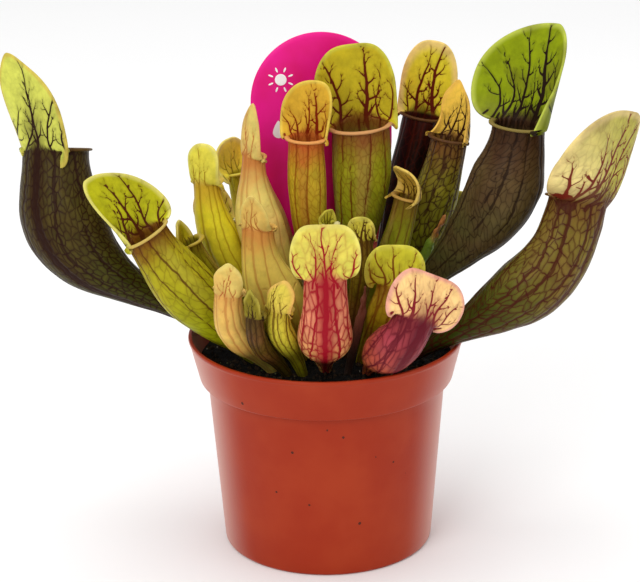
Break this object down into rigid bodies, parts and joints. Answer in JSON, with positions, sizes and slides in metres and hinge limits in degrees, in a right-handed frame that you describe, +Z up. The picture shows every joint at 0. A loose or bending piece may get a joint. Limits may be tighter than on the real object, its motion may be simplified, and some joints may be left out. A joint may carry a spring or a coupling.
{
  "type": "potted pitcher plant",
  "caption": "Clump of hooded, net-veined pitcher leaves rising from dark peat in a tapered round nursery pot with a stepped rim band, with a round-headed plant label.",
  "frame": {"origin": "centre of the pot's flat underside, where the pot rests", "axes": "+Z up out of the pot; -Y is the plant's front, which the picture shows; +X is to the right seen from the front"},
  "size_m": [0.2026, 0.1082, 0.1697],
  "materials": {
    "pot_plastic": "satin",
    "peat": "matte",
    "label_plastic": "satin",
    "leaf_green": "satin",
    "leaf_peach": "satin",
    "leaf_dark": "satin",
    "leaf_red": "satin",
    "leaf_dry": "matte"
  },
  "bodies": {
    "root": {"pot": "pot_plastic", "soil": "peat", "label": "label_plastic", "pitcher_far_left": "leaf_dark", "pitcher_left_green": "leaf_green", "pitcher_left_small": "leaf_green", "pitcher_mid_left": "leaf_green", "pitcher_back_left": "leaf_green", "pitcher_tall_peach": "leaf_peach", "pitcher_front_yellow": "leaf_peach", "pitcher_centre_left": "leaf_peach", "pitcher_centre_big": "leaf_green", "pitcher_centre_back": "leaf_dark", "pitcher_back_right": "leaf_dark", "pitcher_large_right": "leaf_dark", "pitcher_far_right": "leaf_dark", "pitcher_small_open": "leaf_green", "pitcher_small_mid": "leaf_green", "pitcher_tiny_green": "leaf_green", "pitcher_front_centre": "leaf_red", "pitcher_right_yellow": "leaf_green", "pitcher_red_right": "leaf_red", "pitcher_peach_left": "leaf_peach", "pitcher_narrow_dark": "leaf_dark", "pitcher_small_hooked": "leaf_peach", "pitcher_rear_left": "leaf_dark", "pitcher_rear_middle": "leaf_green", "pitcher_rear_right": "leaf_red", "pitcher_rear_outer": "leaf_green", "leaf_dried_tip": "leaf_green", "leaf_dying_stub": "leaf_dry"}
  },
  "joints": []
}
